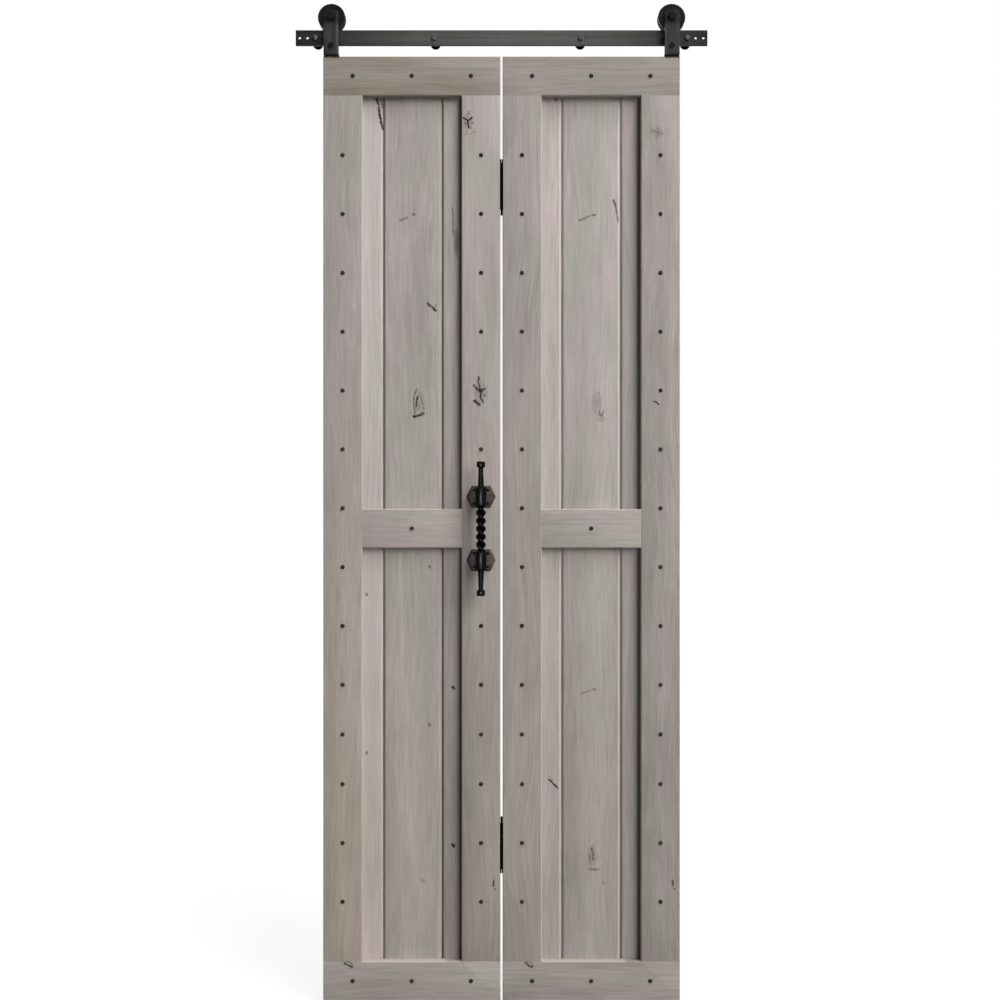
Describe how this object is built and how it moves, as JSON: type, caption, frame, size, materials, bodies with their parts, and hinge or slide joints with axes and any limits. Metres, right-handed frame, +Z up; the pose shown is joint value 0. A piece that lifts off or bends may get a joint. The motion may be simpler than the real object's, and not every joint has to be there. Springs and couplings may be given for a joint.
{
  "type": "bifold door",
  "caption": "Bifold barn door: framed plank leaves hinged together, hung on grooved rollers from a flat wall track, with a twisted iron pull.",
  "frame": {"origin": "on the wall plane, on the track's centre line, midway between its outer wall bolts", "axes": "+X along the track to the right as seen from the room, +Y into the wall, +Z up"},
  "size_m": [0.936, 0.1325, 2.2564],
  "materials": {
    "frame_wood": "grey stain, matt",
    "plank_wood": "grey stain, matt",
    "nail_iron": "black oxide",
    "black_iron": "black powder coat",
    "forged_iron": "forged, waxed black",
    "bolt_steel": "black zinc",
    "nylon": "moulded"
  },
  "bodies": {
    "track": {"track_rail": "black_iron", "standoffs": "black_iron", "lag_bolts": "black_iron", "right_strap": "black_iron", "right_axle_bolt": "bolt_steel", "right_axle_nut": "bolt_steel", "right_axle_spacers": "bolt_steel", "right_jump_pin": "bolt_steel", "right_swivel_bush": "nylon"},
    "right_roller": {"right_wheel": "black_iron", "right_bearing": "bolt_steel"},
    "right_leaf": {"right_outer_stile": "frame_wood", "right_inner_stile": "frame_wood", "right_top_rail": "frame_wood", "right_mid_rail": "frame_wood", "right_bottom_rail": "frame_wood", "right_outer_plank": "plank_wood", "right_middle_plank": "plank_wood", "right_inner_plank": "plank_wood", "right_clavos": "nail_iron", "right_pivot_plate": "bolt_steel", "right_plate_screws": "bolt_steel", "right_swivel_bolt": "bolt_steel", "right_thrust_washer": "nylon", "right_hinge_screws": "black_iron", "upper_hinge_right_plate": "black_iron", "lower_hinge_right_plate": "black_iron"},
    "left_leaf": {"left_outer_stile": "frame_wood", "left_inner_stile": "frame_wood", "left_top_rail": "frame_wood", "left_mid_rail": "frame_wood", "left_bottom_rail": "frame_wood", "left_outer_plank": "plank_wood", "left_middle_plank": "plank_wood", "left_inner_plank": "plank_wood", "left_clavos": "nail_iron", "left_pivot_plate": "bolt_steel", "left_plate_screws": "bolt_steel", "left_swivel_bolt": "bolt_steel", "left_thrust_washer": "nylon", "left_hinge_screws": "black_iron", "upper_hinge_left_plate": "black_iron", "lower_hinge_left_plate": "black_iron", "upper_hinge_pin": "black_iron", "lower_hinge_pin": "black_iron", "handle_bar": "forged_iron", "handle_upper_rosette": "forged_iron", "handle_lower_rosette": "forged_iron", "handle_screws": "forged_iron"},
    "left_hanger": {"left_strap": "black_iron", "left_axle_bolt": "bolt_steel", "left_axle_nut": "bolt_steel", "left_axle_spacers": "bolt_steel", "left_jump_pin": "bolt_steel", "left_swivel_bush": "nylon"},
    "left_roller": {"left_wheel": "black_iron", "left_bearing": "bolt_steel"}
  },
  "joints": [
    {"name": "right_leaf_pivot", "type": "hinge", "parent": "track", "child": "right_leaf", "pos_m": [0.38575, -0.041, -0.048], "axis": [0, 0, 1], "range_deg": [0, 87]},
    {"name": "leaf_hinge", "type": "hinge", "parent": "right_leaf", "child": "left_leaf", "pos_m": [0, -0.0155, -1.1148], "axis": [0, 0, 1], "range_deg": [-174, 0]},
    {"name": "left_hanger_swivel", "type": "hinge", "parent": "left_leaf", "child": "left_hanger", "pos_m": [-0.38575, -0.041, -0.048], "axis": [0, 0, 1], "range_deg": [0, 87]},
    {"name": "left_wheel_spin", "type": "hinge", "parent": "left_hanger", "child": "left_roller", "pos_m": [-0.38575, -0.041, 0.0438], "axis": [0, 1, 0], "continuous": true},
    {"name": "right_wheel_spin", "type": "hinge", "parent": "track", "child": "right_roller", "pos_m": [0.38575, -0.041, 0.0438], "axis": [0, 1, 0], "continuous": true}
  ],
  "couplings": [
    {"joint": "leaf_hinge", "follows": "right_leaf_pivot", "ratio": -2},
    {"joint": "left_hanger_swivel", "follows": "right_leaf_pivot", "ratio": 1}
  ]
}
